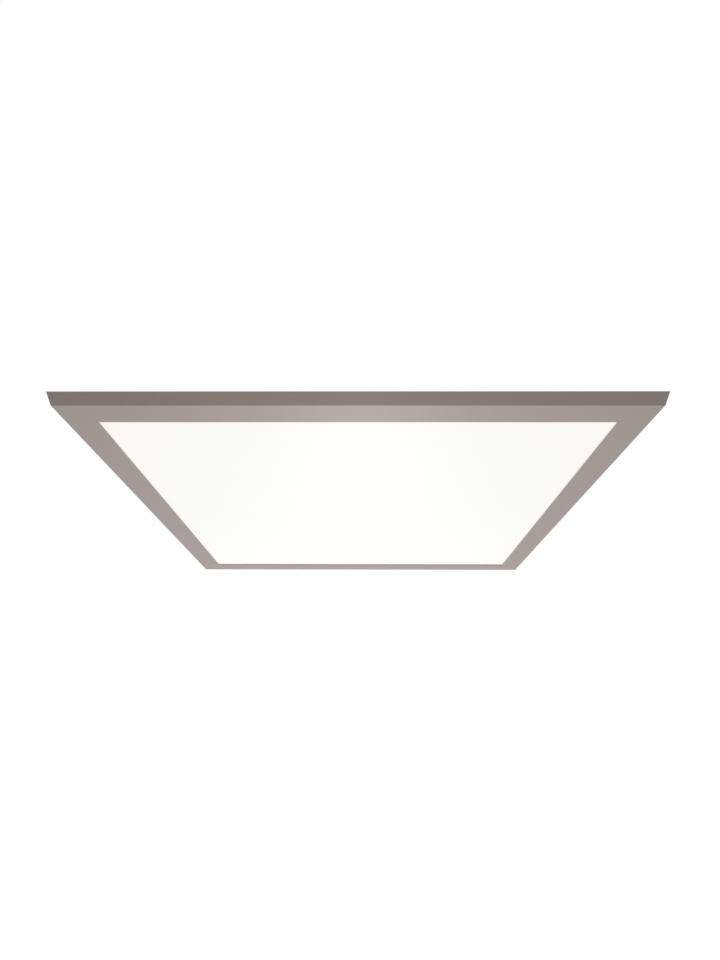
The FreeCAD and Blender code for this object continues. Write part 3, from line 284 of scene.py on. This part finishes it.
tones = {
    # linear colours, with a second one where plating is tinted
    "frame": (0.405, 0.338, 0.304), "cover": (0.78, 0.78, 0.765),
    "zinc": (0.43, 0.445, 0.46), "steel": [(0.50, 0.51, 0.52), (0.53, 0.51, 0.43)],
    "spring": [(0.30, 0.31, 0.33), (0.25, 0.27, 0.31)], "brass": [(0.72, 0.54, 0.24), (0.60, 0.43, 0.18)],
    "nylon": (0.80, 0.79, 0.73), "case": (0.80, 0.80, 0.78), "film": (0.86, 0.86, 0.85),
    "capacitor": (0.62, 0.40, 0.05), "strip": (0.80, 0.80, 0.77), "board": (0.02, 0.12, 0.045),
}
waxy = {"Subsurface Weight": 0.05}
zincSheet = galvanised("zincSheet", tones["zinc"], spangle=170.0)
brightSteel = plated("brightSteel", *tones["steel"], roughness=0.3)
nodeFinishes = {
    # material slot: finish
    "frame_paint": coated("warmGreyCoat", tones["frame"], 0.42, speckle=5200.0, peel=1500.0, depth=0.000012),
    "opal": opalWindow(),
    "clear_acrylic": clearAcrylic(),
    "white_film": moulded("whiteFilm", tones["film"], 0.55, grain=400.0, depth=0.00001),
    "foam": foamCells(),
    "cover_paint": coated("whiteCoat", tones["cover"], 0.5, speckle=4200.0, peel=700.0, depth=0.00004),
    "zinc_sheet": zincSheet,
    "bright_steel": brightSteel,
    "spring_steel": plated("springSteel", *tones["spring"], roughness=0.34),
    "strip_board": solderMask("whiteBoard", tones["strip"], pads=0.6, pitch=260.0),
    "chip": phosphor(),
    "driver_plastic": moulded("casePlastic", tones["case"], 0.5, grain=1300.0, depth=0.00005),
    "circuit_board": solderMask("greenBoard", tones["board"], pads=0.9, pitch=420.0),
    "ferrite": windings(),
    "film_case": moulded("filmCase", tones["capacitor"], 0.35, grain=700.0, depth=0.00002),
    "terminal_plastic": moulded("nylon", tones["nylon"], 0.42, grain=900.0, depth=0.00002, constants=waxy),
    "brass_metal": plated("brass", *tones["brass"], roughness=0.3),
    "black_rubber": rubber(),
}
for nodeName, node in nodes.items():
    node.data.materials.clear()
    node.data.materials.append(nodeFinishes[slotOf[nodeName]])
print("finishes made:", len(nodeFinishes))


# Pieces

def placed(name, data):
    made = bpy.data.objects.new(name, data)
    bpy.context.scene.collection.objects.link(made)
    return made


sharpTurn = {"rounded": 50.0, "lathed": 40.0, "fixing": 28.0}  # degrees that keep an edge sharp


def addPiece(name, mesh, like, replaced=()):
    # a piece that rides like a CAD node, and takes its finish where the mesh has none
    if not mesh.materials:
        mesh.materials.append(nodeFinishes[slotOf[like]])
    made = placed(name, mesh)
    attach(made, bodyOf[like])
    if replaced:
        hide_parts(*replaced)


def shaded(mesh, keep):
    # smooth, but for edges that turn by more than this many degrees
    for face in mesh.polygons:
        face.use_smooth = True
    mesh.set_sharp_from_angle(angle=math.radians(keep))


def plainMesh(holder):
    # what the holder's modifiers make of it, without the holder
    mesh = bpy.data.meshes.new_from_object(holder.evaluated_get(bpy.context.evaluated_depsgraph_get()))
    bpy.data.objects.remove(holder)
    return mesh


def settled(name, shell, keep):
    # large faces keep their flat shading, and the narrow rounded ones take up the turn
    mesh = bpy.data.meshes.new(name)
    shell.to_mesh(mesh)
    shell.free()
    shaded(mesh, keep)
    holder = placed(name + "Holder", mesh)
    holder.modifiers.new("evenNormals", "WEIGHTED_NORMAL").keep_sharp = True
    result = plainMesh(holder)
    result.name = name
    return result


def mergedShell(nodeName):
    shell = bmesh.new()
    shell.from_mesh(nodes[nodeName].data)
    bmesh.ops.remove_doubles(shell, verts=shell.verts, dist=merged)
    return shell


sheetRound = 0.1 * mm  # narrow enough for the shortest edge of a bent sheet
edgeTests = {
    "flatTurn": 0.5,  # degrees: faces that turn less than this are one
    "level": 0.02, "along": 0.999,  # shares of an edge's direction
}


def softened(name, nodeName, rounds):
    # a copy of a CAD node with rounded edges: each round is (least turn, most turn, width, axis),
    # where the axis is 0 or 1 for edges along X or Y, "level" for those that lie flat and None for all
    shell = mergedShell(nodeName)
    bmesh.ops.dissolve_limit(
        shell, angle_limit=math.radians(edgeTests["flatTurn"]), verts=shell.verts, edges=shell.edges,
        delimit=set(),
    )
    for least, most, width, axis in rounds:
        chosen = []
        for edge in shell.edges:
            if len(edge.link_faces) != 2 or not least < math.degrees(edge.calc_face_angle(0.0)) < most:
                continue
            run = (edge.verts[1].co - edge.verts[0].co).normalized()
            if axis == "level":
                wanted = abs(run.z) < edgeTests["level"]
            else:
                wanted = axis is None or abs(run[axis]) > edgeTests["along"]
            if wanted:
                chosen.append(edge)
        bmesh.ops.bevel(
            shell, geom=chosen, offset=width, offset_type="OFFSET", segments=2, profile=0.5,
            affect="EDGES", clamp_overlap=width > sheetRound,
        )
        bmesh.ops.remove_doubles(shell, verts=shell.verts, dist=4 * merged)  # slivers where rounds meet
    bmesh.ops.dissolve_degenerate(shell, dist=merged, edges=shell.edges)
    addPiece(name, settled(name, shell, sharpTurn["rounded"]), nodeName, [nodeName])


def allEdges(width):
    return [(60, 120, width, None)]


softPieces = {
    # name: (node, rounds)
    "frontRail": ("frame_front", [(40, 120, 0.25 * mm, 0)]),
    "rearRail": ("frame_rear", [(40, 120, 0.25 * mm, 0)]),
    "leftRail": ("frame_left", [(40, 120, 0.25 * mm, 1)]),
    "rightRail": ("frame_right", [(40, 120, 0.25 * mm, 1)]),
    "ceilingChannelLeft": ("ceiling_rail_left", allEdges(sheetRound)),
    "ceilingChannelRight": ("ceiling_rail_right", allEdges(sheetRound)),
    "hookLeft": ("hook_left", allEdges(0.25 * mm)),
    "hookRight": ("hook_right", allEdges(0.25 * mm)),
    "strikeLeft": ("strike_left", [(20, 120, 0.2 * mm, None)]),
    "strikeRight": ("strike_right", [(20, 120, 0.2 * mm, None)]),
    "wiringTray": ("cross_tray", allEdges(sheetRound)),
    "pressedCover": ("back_cover", [(12, 60, 0.5 * mm, "level")]),
    "driverFloor": ("driver_base", allEdges(0.35 * mm)),
    "driverLid": ("driver_cover", allEdges(0.5 * mm)),
    "terminalBody": ("terminal_block", allEdges(0.3 * mm)),
    "earthPlate": ("earth_plate", allEdges(0.15 * mm)),
}
for name, (nodeName, rounds) in softPieces.items():
    softened(name, nodeName, rounds)
print("edges softened on", len(softPieces), "pieces")


lathe = {"turnSteps": 72, "cornerSteps": 5}


def lathed(name, section, centre, axis, nodeName):
    # turns a closed section of (radius, height) about an axis through the centre
    shell = bmesh.new()
    rows = []
    for step in range(lathe["turnSteps"]):
        angle = 2 * math.pi * step / lathe["turnSteps"]
        rows.append([shell.verts.new((r * math.cos(angle), r * math.sin(angle), h)) for r, h in section])
    for row, following in zip(rows, rows[1:] + rows[:1]):
        for index in range(len(section)):
            after = (index + 1) % len(section)
            shell.faces.new((row[index], following[index], following[after], row[after]))
    bmesh.ops.remove_doubles(shell, verts=shell.verts, dist=merged / 10)
    bmesh.ops.dissolve_degenerate(shell, dist=merged / 100, edges=shell.edges)
    bmesh.ops.recalc_face_normals(shell, faces=shell.faces)
    turned = Vector((0, 0, 1)).rotation_difference(axis).to_matrix().to_4x4()
    shell.transform(Matrix.Translation(centre) @ turned)
    addPiece(name, settled(name, shell, sharpTurn["lathed"]), nodeName, [nodeName])


def roundedSection(corners, radii):
    # each corner of a section, cut back and turned by small steps
    points, steps = [], lathe["cornerSteps"]
    for index, corner in enumerate(corners):
        here = Vector(corner)
        before, after = Vector(corners[index - 1]), Vector(corners[(index + 1) % len(corners)])
        radius = radii[index]
        if radius == 0:
            points.append(tuple(here))
            continue
        start, end = here + (before - here).normalized() * radius, here + (after - here).normalized() * radius
        for step in range(steps + 1):
            t = step / steps
            points.append(tuple(start * (1 - t) ** 2 + here * 2 * t * (1 - t) + end * t ** 2))
    return points


def middleOf(nodeName):
    # the middle of a CAD node's box, and its size
    low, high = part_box(nodeName)
    return (low + high) / 2, high - low


grommets = {
    # name: (node, radius of the bore, radius of the groove, plate that it grips)
    "cableGrommet": ("cable_grommet", 5.0 * mm, 7.95 * mm, 1.2 * mm),
    "leadGrommet": ("lead_grommet", 2.5 * mm, 4.95 * mm, 0.7 * mm),
}
grommetRound, innerRound = 0.48, 0.6  # of the flange's thickness, and of that on the plate's side
for name, (nodeName, bore, groove, plate) in grommets.items():
    centre, size = middleOf(nodeName)
    flange, half = size.x / 2, size.z / 2
    soft = (half - plate / 2) * grommetRound
    inner = soft * innerRound
    corners = [
        (bore, -half), (flange, -half), (flange, -plate / 2), (groove, -plate / 2),
        (groove, plate / 2), (flange, plate / 2), (flange, half), (bore, half),
    ]
    section = roundedSection(corners, [soft, soft, inner, 0, 0, inner, soft, soft])
    lathed(name, section, centre, Vector((0, 0, 1)), nodeName)

hingePin = {
    "radius": 2.0 * mm, "head": 3.6 * mm, "headHeight": 1.4 * mm,
    "chamfer": 0.4 * mm, "headRim": 0.15 * mm, "crown": 0.8 * mm,
}
for side, way in (("left", -1), ("right", 1)):
    pin = "hinge_pin_" + side
    centre, size = middleOf(pin)
    half, shoulder = size.x / 2, size.x / 2 - hingePin["headHeight"]
    corners = [
        (0, -half), (hingePin["radius"], -half), (hingePin["radius"], shoulder),
        (hingePin["head"], shoulder), (hingePin["head"], half), (0, half),
    ]
    section = roundedSection(corners, [0, hingePin["chamfer"], 0, hingePin["headRim"], hingePin["crown"], 0])
    lathed(f"hingePin{side.title()}", section, centre, Vector((way, 0, 0)), pin)
print("rubber grommets and hinge pins turned")


# Repeated fixings, made by geometry nodes

def newTree(name, sizes):
    # a tree with a named input for each size; returns the wires from its inputs
    tree = bpy.data.node_groups.new(name, "GeometryNodeTree")
    tree.interface.new_socket("Geometry", in_out="INPUT", socket_type="NodeSocketGeometry")
    for size, value in sizes.items():
        tree.interface.new_socket(size, in_out="INPUT", socket_type="NodeSocketFloat").default_value = value
    tree.interface.new_socket("Geometry", in_out="OUTPUT", socket_type="NodeSocketGeometry")
    start = tree.nodes.new("NodeGroupInput")
    return {socket.name: Wire(tree, socket) for socket in start.outputs if socket.name}


def onPlaces(wires, shape, finish, turnSeed=None):
    # one copy of the shape on each point, turned at random about Z where a seed is given
    tree = shape.tree
    sockets = {"Points": wires["Geometry"], "Instance": shape}
    if turnSeed is not None:
        turns = {0: (0.0, 0.0, 0.0), 1: (0.0, 0.0, 2 * math.pi), "Seed": turnSeed}
        sockets["Rotation"] = shape.node("FunctionNodeRandomValue", turns, data_type="FLOAT_VECTOR")
    copies = shape.node("GeometryNodeInstanceOnPoints", sockets)
    real = shape.node("GeometryNodeRealizeInstances", {0: copies})
    done = shape.node("GeometryNodeSetMaterial", {"Geometry": real, "Material": finish})
    result = tree.nodes.new("NodeGroupOutput")
    tree.links.new(done.socket, result.inputs[0])
    return tree


# A node is started from any wire of its tree, such as the shape's or a size's

def lifted(shape, height):
    up = shape.node("ShaderNodeCombineXYZ", {"Z": height})
    return shape.node("GeometryNodeTransform", {"Geometry": shape, "Translation": up})


def cylinder(wire, sides, radius, depth):
    return wire.node("GeometryNodeMeshCylinder", {"Vertices": sides, "Radius": radius, "Depth": depth})


def combined(operation, meshes):
    return meshes["Mesh 2"][0].node("GeometryNodeMeshBoolean", meshes, operation=operation, solver="EXACT")


hexShape = {
    "outward": 1 / math.sqrt(3),  # corner radius as a share of the flats
    "faceRadius": 0.475,  # flat round face left at a turned end, as a share of the flats
    "spread": 1.7,  # how far the cone widens for each unit of height
    "coneSides": 36,
}


def hexBlank(flats, height, bothEnds=False):
    # a hexagon whose corners are turned off by a cone, as on a real head or nut
    blank = lifted(cylinder(flats, 6, flats * hexShape["outward"], height), height * 0.5)
    face = flats * hexShape["faceRadius"]
    flare = face + height * hexShape["spread"]
    ends = [(face, flare), (flare, face)] if bothEnds else [(face, flare)]
    cones = [flats.node("GeometryNodeMeshCone", {
        "Vertices": hexShape["coneSides"], "Radius Top": top, "Radius Bottom": bottom, "Depth": height,
    }) for top, bottom in ends]
    return combined("INTERSECT", {"Mesh 2": [blank] + cones})


def box(wire, wide, long, deep):
    size = wire.node("ShaderNodeCombineXYZ", {"X": wide, "Y": long, "Z": deep})
    return wire.node("GeometryNodeMeshCube", {"Size": size})


def cut(body, tools):
    return combined("DIFFERENCE", {"Mesh 1": body, "Mesh 2": tools})


def joined(parts):
    return parts[0].node("GeometryNodeJoinGeometry", {0: parts})


hexScrew = {
    "headFlats": 5.5 * mm, "headHeight": 2.0 * mm, "recess": 2.8 * mm, "recessDepth": 1.1 * mm,
    "recessArm": 0.3,  # width of each arm of the cross, as a share of its length
    "shankRadius": 1.5 * mm, "shankLength": 8.0 * mm,
}


def hexScrewTree():
    # a hexagon head with a cross recess; its underside is at z = 0, with the shank below
    wires = newTree("hexScrews", hexScrew)
    height, recess, deep = wires["headHeight"], wires["recess"], wires["recessDepth"] * 2.0
    arm = recess * wires["recessArm"]
    bars = [box(height, arm, recess, deep), box(height, recess, arm, deep)]
    head = cut(hexBlank(wires["headFlats"], height), [lifted(bar, height) for bar in bars])
    shank = cylinder(height, 20, wires["shankRadius"], wires["shankLength"])
    shank = lifted(shank, wires["shankLength"] * -0.5)
    return onPlaces(wires, joined([head, shank]), brightSteel, turnSeed=3)


studNut = {"flats": 7.0 * mm, "height": 3.0 * mm, "bore": 2.1 * mm}


def nutTree():
    wires = newTree("studNuts", studNut)
    nut = hexBlank(wires["flats"], wires["height"], bothEnds=True)
    hole = lifted(cylinder(wires["flats"], 32, wires["bore"], wires["height"] * 2.0), wires["height"] * 0.5)
    return onPlaces(wires, cut(nut, [hole]), brightSteel, turnSeed=8)


studThread = {"radius": 1.93 * mm, "pitch": 0.7 * mm, "length": 5.6 * mm, "ridge": 0.15 * mm}


def threadTree():
    # one helix of the thread on each stud
    wires = newTree("studThreads", studThread)
    turns = wires["length"] / wires["pitch"]
    line = turns.node("GeometryNodeCurveSpiral", {
        "Resolution": 24, "Rotations": turns, "Start Radius": wires["radius"], "End Radius": wires["radius"],
        "Height": wires["length"],
    })
    ring = turns.node("GeometryNodeCurvePrimitiveCircle", {"Resolution": 6, "Radius": wires["ridge"]})
    ridge = turns.node("GeometryNodeCurveToMesh", {"Curve": line, "Profile Curve": ring, "Fill Caps": True})
    return onPlaces(wires, ridge, brightSteel)


clampScrew = {"radius": 1.5 * mm, "length": 5.3 * mm, "slot": 0.5 * mm}


def clampScrewTree():
    # a headless screw with a slot across the end that shows, at z = 0
    wires = newTree("clampScrews", clampScrew)
    radius, length, slot = wires["radius"], wires["length"], wires["slot"]
    slotBox = box(radius, slot, radius * 3.0, slot * 2.4)
    body = lifted(cylinder(radius, 32, radius, length), length * 0.5)
    return onPlaces(wires, cut(body, [slotBox]), brightSteel, turnSeed=5)


spotWeld = {"radius": 1.6 * mm, "rise": 0.09 * mm}


def weldTree():
    # a ball pressed flat, half of it in the sheet
    wires = newTree("spotWelds", spotWeld)
    ball = wires["rise"].node("GeometryNodeMeshUVSphere", {
        "Segments": 24, "Rings": 10, "Radius": wires["radius"],
    })
    share = wires["rise"] / wires["radius"]
    flat = share.node("ShaderNodeCombineXYZ", {"X": 1.0, "Y": 1.0, "Z": share})
    dome = share.node("GeometryNodeTransform", {"Geometry": ball, "Scale": flat})
    return onPlaces(wires, dome, zincSheet, turnSeed=2)


def grown(name, tree, places, like, replaced=(), sizes=None, turned=None):
    # runs a tree on some places and keeps the result as a plain mesh; sizes differ from the tree's own
    points = bpy.data.meshes.new(name + "Places")
    points.from_pydata(places, [], [])
    holder = placed(name + "Places", points)
    modifier = holder.modifiers.new(name, "NODES")
    modifier.node_group = tree
    for item in tree.interface.items_tree:
        if item.in_out == "INPUT" and item.name in (sizes or {}):
            modifier[item.identifier] = sizes[item.name]
    mesh = plainMesh(holder)
    if turned:
        mesh.transform(turned)
    shaded(mesh, sharpTurn["fixing"])
    mesh.name = name
    addPiece(name, mesh, like, replaced)


def placesIn(nodeName, height):
    # the middle of each separate solid in a CAD node, at a height
    shell = mergedShell(nodeName)
    left, places = set(shell.verts), []
    while left:
        reached, waiting = set(), [min(left, key=lambda v: v.index)]
        while waiting:
            vert = waiting.pop()
            if vert in reached:
                continue
            reached.add(vert)
            waiting.extend(e.other_vert(vert) for e in vert.link_edges)
        left -= reached
        xs, ys = [v.co.x for v in reached], [v.co.y for v in reached]
        places.append(((min(xs) + max(xs)) / 2, (min(ys) + max(ys)) / 2, height))
    shell.free()
    return places


screwTree = hexScrewTree()
for name, nodeName in (("coverScrews", "cover_screws"), ("hookScrews", "hook_screws")):
    places = placesIn(nodeName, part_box(nodeName)[1].z - hexScrew["headHeight"])
    grown(name, screwTree, places, nodeName, [nodeName])

earthScrew = {"headFlats": 7.0 * mm, "recess": 3.6 * mm, "shankRadius": 2.0 * mm}
earthMiddle = middleOf("earth_screw")[0]
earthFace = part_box("earth_screw")[0].y + hexScrew["headHeight"]
outward = Matrix.Rotation(math.radians(90), 4, "X")  # the head faces -Y
outward = Matrix.Translation((earthMiddle.x, earthFace, earthMiddle.z)) @ outward
grown("earthScrew", screwTree, [(0, 0, 0)], "earth_screw", ["earth_screw"], earthScrew, outward)

nutPlaces = placesIn("stud_nuts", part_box("stud_nuts")[0].z)
grown("studNuts", nutTree(), nutPlaces, "stud_nuts", ["stud_nuts"])
threadStart = 5.8 * mm  # below the studs' ends
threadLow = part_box("back_cover")[1].z - threadStart
grown("studThreads", threadTree(), placesIn("stud_nuts", threadLow), "stud_nuts")

clampPlaces = placesIn("terminal_screws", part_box("terminal_screws")[0].z)
grown("clampScrews", clampScrewTree(), clampPlaces, "terminal_screws", ["terminal_screws"])

strikeFoot = {"thickness": 1.5 * mm, "weldX": 4 * mm, "weldY": 8.5 * mm}
weldPlaces = []
for side in ("left", "right"):
    centre = middleOf("strike_" + side)[0]
    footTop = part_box("strike_" + side)[0].z + strikeFoot["thickness"]
    for x in (centre.x - strikeFoot["weldX"], centre.x + strikeFoot["weldX"]):
        for y in (centre.y - strikeFoot["weldY"], centre.y + strikeFoot["weldY"]):
            weldPlaces.append((x, y, footTop))
grown("spotWelds", weldTree(), weldPlaces, "strike_left")
print("screws, nuts, threads and welds grown")


# Camera, lamps and room

view = {
    # focal length and long side in pixels of the photo, turns in radians
    "focal": 568.18, "longSide": 960, "sensor": 36.0, "near": 0.01, "far": 200.0,
    "place": (6.8 * mm, -762.8 * mm, -336.9 * mm), "yaw": -0.0076, "pitch": 0.4230, "roll": 0.0038,
}
lens = bpy.data.cameras.new("photoLens")
lens.sensor_width, lens.lens = view["sensor"], view["focal"] * view["sensor"] / view["longSide"]
lens.clip_start, lens.clip_end = view["near"], view["far"]
camera = placed("camera", lens)
yaw, pitch, roll = view["yaw"], view["pitch"], view["roll"]
ahead = Vector((math.sin(yaw) * math.cos(pitch), math.cos(yaw) * math.cos(pitch), math.sin(pitch)))
level = Vector((math.cos(yaw), -math.sin(yaw), 0.0))
above = level.cross(ahead)
right = level * math.cos(roll) + above * math.sin(roll)
up = above * math.cos(roll) - level * math.sin(roll)
camera.matrix_world = Matrix.Translation(view["place"]) @ Matrix((right, up, -ahead)).transposed().to_4x4()
bpy.context.scene.camera = camera


def softLamp(name, place, aim, size, watts):
    data = bpy.data.lights.new(name, "AREA")
    data.shape, data.size, data.energy = "DISK", size, watts
    lamp = placed(name, data)
    lamp.location = place
    lamp.rotation_mode = "QUATERNION"
    lamp.rotation_quaternion = (Vector(aim) - Vector(place)).to_track_quat("-Z", "Y")
    lamp.visible_camera = False


lamps = {
    # name: (place, aim, width, watts)
    "frontLamp": ((0.0, -0.72, -0.22), (0.0, -0.30, -0.04), 0.12, 0.20),
    "nearLamp": ((0.0, -0.30, -0.65), (0.0, -0.30, 0.0), 0.3, 1.05),
    "farLamp": ((0.0, 0.90, -1.20), (0.0, 0.30, 0.0), 0.5, 6.4),
    "aboveLamp": ((0.5, -0.6, 1.9), (0.0, 0.0, 0.0), 2.2, 34.0),
}
for name, values in lamps.items():
    softLamp(name, *values)


def seen(wire):
    # 1 for what the camera sees, straight, mirrored or through something
    rays = wire.node("ShaderNodeLightPath", output="Is Camera Ray")
    glossy, through = rays.beside("Is Glossy Ray"), rays.beside("Is Transmission Ray")
    return rays.maths("MAXIMUM", rays.maths("MAXIMUM", rays, glossy), through)


room = {
    # the room is white where the camera sees it, and gives less light than that
    "ambient": 0.22, "floorReach": 60.0, "floorDepth": -1.6, "floorGlow": 0.8,
}
black, white, floorGrey = (0.0, 0.0, 0.0, 1), (1.0, 1.0, 1.0, 1), (0.8, 0.8, 0.8)
world = bpy.data.worlds.new("room")
world.use_nodes = True
bpy.context.scene.world = world
worldShader = world.node_tree.nodes["Background"]
worldStart = Wire(world.node_tree)
worldStart.join(worldShader.inputs["Color"], white)
light = seen(worldStart) * (1.0 - room["ambient"]) + room["ambient"]
worldStart.join(worldShader.inputs["Strength"], light)

floorMesh = bpy.data.meshes.new("floor")
reach, depth = room["floorReach"], room["floorDepth"]
corners = [(-reach, -reach, depth), (reach, -reach, depth), (reach, reach, depth), (-reach, reach, depth)]
floorMesh.from_pydata(corners, [], [(0, 1, 2, 3)])
paleFloor = Finish("paleFloor", floorGrey, 0.8, constants={"Emission Strength": room["floorGlow"]})
paleFloor.feed("Emission Color", seen(paleFloor.start).blend(black, white))
paleFloor.feed("Base Color", paleFloor.noise(2.0).blend((0.79, 0.79, 0.79, 1), (0.81, 0.81, 0.81, 1)))
floorMesh.materials.append(paleFloor.material)
placed("floor", floorMesh)
bpy.context.scene.view_settings.view_transform = "Standard"
print("camera, lamps and room placed")
